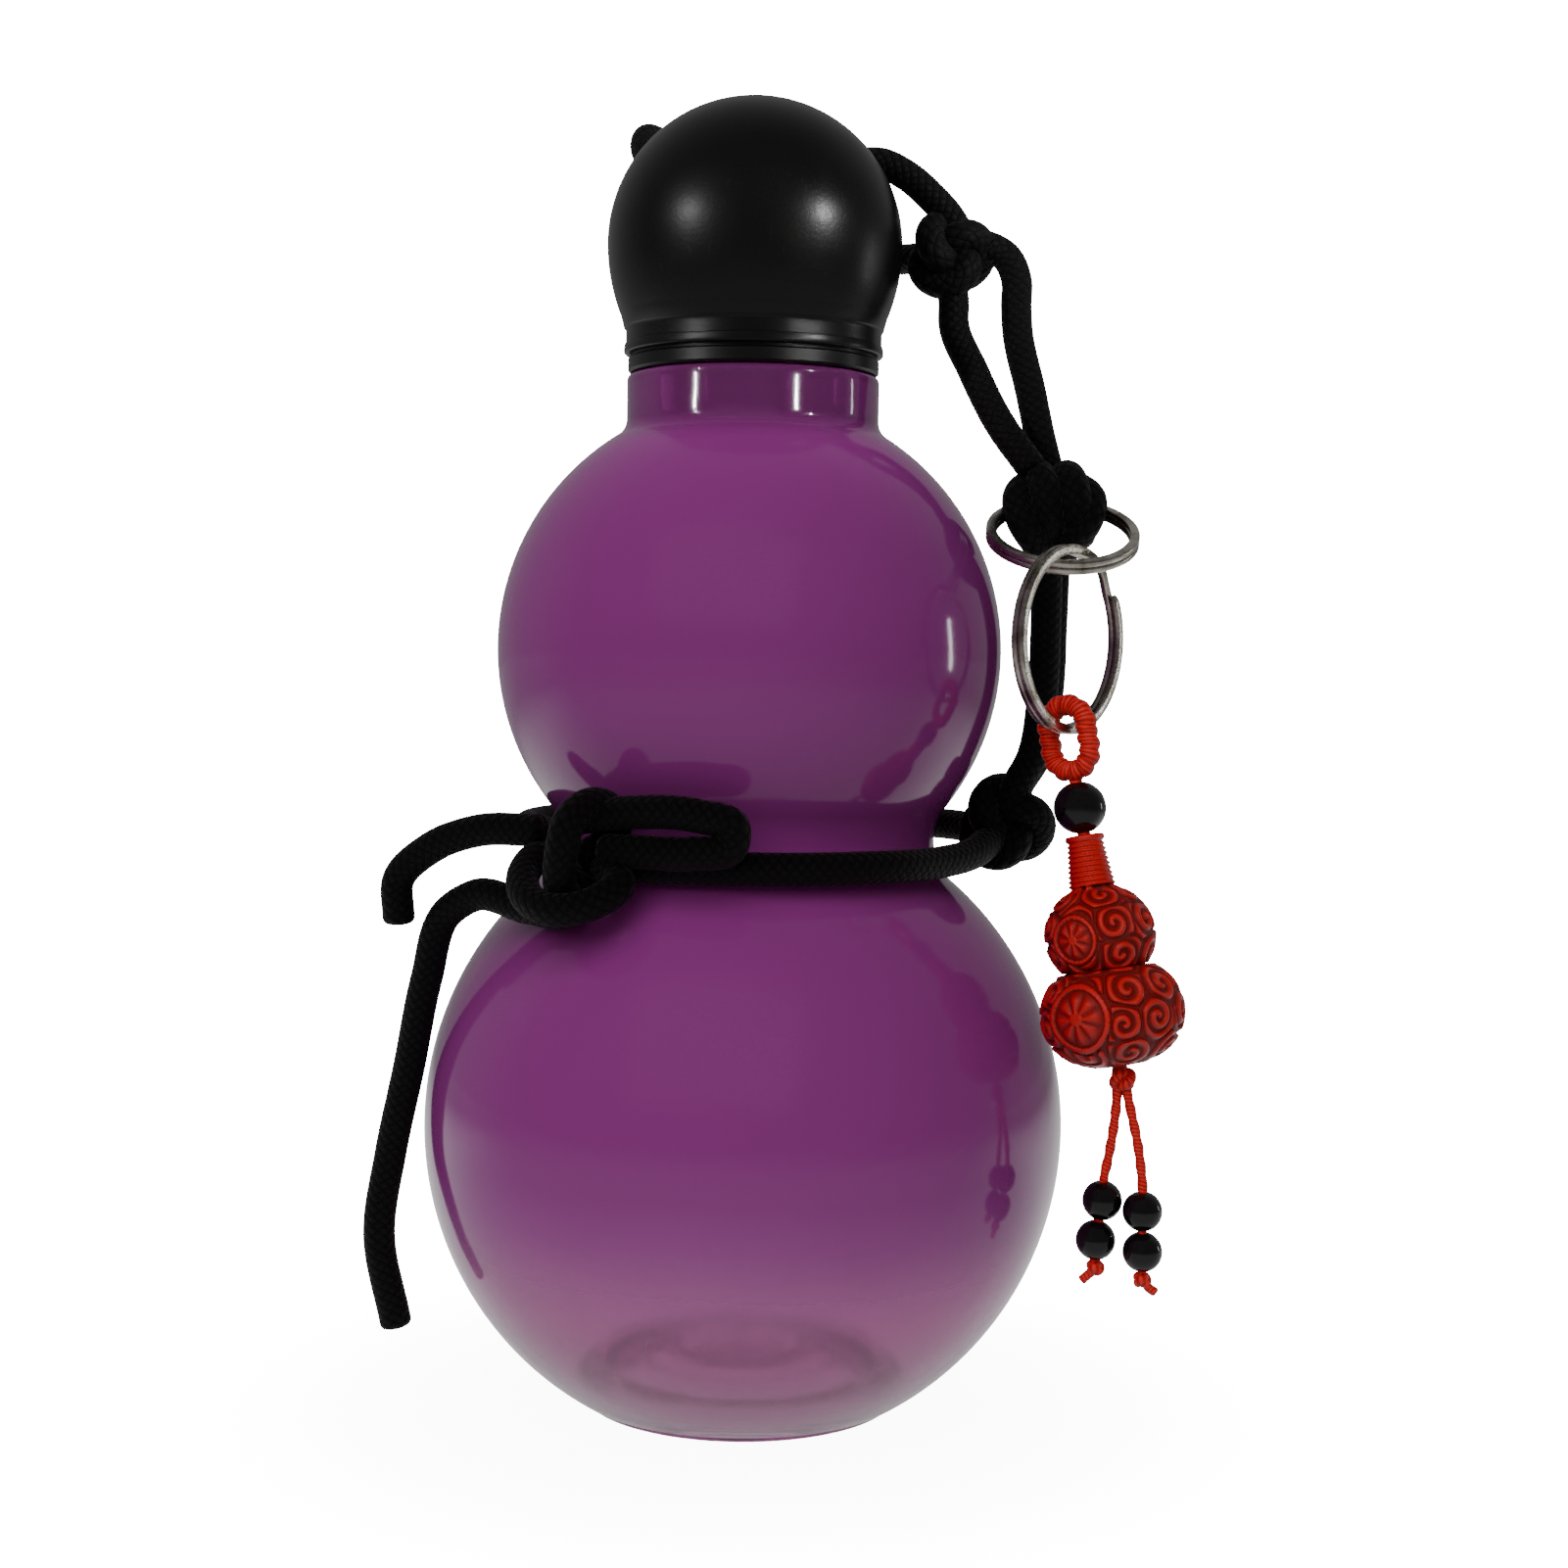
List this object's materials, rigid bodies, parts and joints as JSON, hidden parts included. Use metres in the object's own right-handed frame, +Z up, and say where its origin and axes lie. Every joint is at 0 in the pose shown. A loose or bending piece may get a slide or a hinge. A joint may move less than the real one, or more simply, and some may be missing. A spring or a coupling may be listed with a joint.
{
  "type": "gourd water bottle",
  "caption": "Double-lobed gourd water bottle with a ball screw cap on a knotted cord round its waist, two split rings and a carved gourd charm.",
  "frame": {"origin": "centre of the foot, on the surface the bottle stands on", "axes": "+Z up along the bottle's axis to the top of the ball cap, -Y the pictured front, +X the side where the rings and the charm hang"},
  "size_m": [0.1257, 0.1018, 0.2089],
  "materials": {
    "bottle_tint": "clear tinted plastic, gloss, colour fading out towards the foot",
    "cap_black": "satin black moulded plastic",
    "insert_black": "satin black moulded plastic",
    "seal_silicone": "translucent white silicone",
    "black_cord": "round braided cord, black",
    "ring_steel": "nickel-plated spring steel wire",
    "red_thread": "red twisted thread",
    "black_bead": "polished black bead",
    "red_lacquer": "carved red lacquer, satin"
  },
  "bodies": {
    "bottle": {"bottle_body": "bottle_tint", "strand_inner": "black_cord", "strand_outer": "black_cord", "ring_hitch": "black_cord", "riser_front": "black_cord", "riser_back": "black_cord", "side_knot": "black_cord", "waist_front": "black_cord", "waist_back": "black_cord", "waist_knot": "black_cord", "bow_loop": "black_cord", "tail_short": "black_cord", "tail_long": "black_cord"},
    "seal": {"seal_ring": "seal_silicone"},
    "cap": {"cap_shell": "cap_black", "cap_insert": "insert_black", "cap_loop": "black_cord", "cap_knot": "black_cord", "strand_top": "black_cord"},
    "upper_ring": {"split_ring_upper": "ring_steel"},
    "lower_ring": {"split_ring_lower": "ring_steel"},
    "charm": {"charm_loop": "red_thread", "charm_cord": "red_thread", "charm_knot": "red_thread", "tassel_thread_left": "red_thread", "tassel_thread_right": "red_thread", "tassel_beads_left": "black_bead", "tassel_beads_right": "black_bead", "tassel_knot_left": "red_thread", "tassel_knot_right": "red_thread"},
    "round_bead": {"charm_bead": "black_bead"},
    "carved_bead": {"charm_gourd": "red_lacquer"}
  },
  "joints": [
    {"name": "cap_lift", "type": "slide", "parent": "bottle", "child": "seal", "axis": [0, 0, 1], "range_m": [0, 0.0092]},
    {"name": "cap_turn", "type": "hinge", "parent": "seal", "child": "cap", "pos_m": [0, 0, 0.18525], "axis": [0, 0, 1], "range_deg": [0, 720]},
    {"name": "upper_ring_swing", "type": "hinge", "parent": "bottle", "child": "upper_ring", "pos_m": [0.0486, -0.002, 0.1445], "axis": [-1, 0, 0], "range_deg": [0, 25]},
    {"name": "lower_ring_swing", "type": "hinge", "parent": "upper_ring", "child": "lower_ring", "pos_m": [0.0486, -0.02169, 0.13381], "axis": [-1, 0, 0], "range_deg": [0, 25]},
    {"name": "charm_swing", "type": "hinge", "parent": "lower_ring", "child": "charm", "pos_m": [0.0486, -0.02169, 0.10911], "axis": [-0.6347, -0.7727, 0], "range_deg": [0, 30]},
    {"name": "round_bead_spin", "type": "hinge", "parent": "charm", "child": "round_bead", "pos_m": [0.05048, -0.02323, 0.09726], "axis": [0.1554, -0.1276, -0.9796], "continuous": true},
    {"name": "carved_bead_spin", "type": "hinge", "parent": "charm", "child": "carved_bead", "pos_m": [0.05385, -0.026, 0.076], "axis": [0.1554, -0.1276, -0.9796], "continuous": true}
  ],
  "couplings": [
    {"joint": "cap_lift", "follows": "cap_turn", "m_per_rad": 0.0007162}
  ]
}
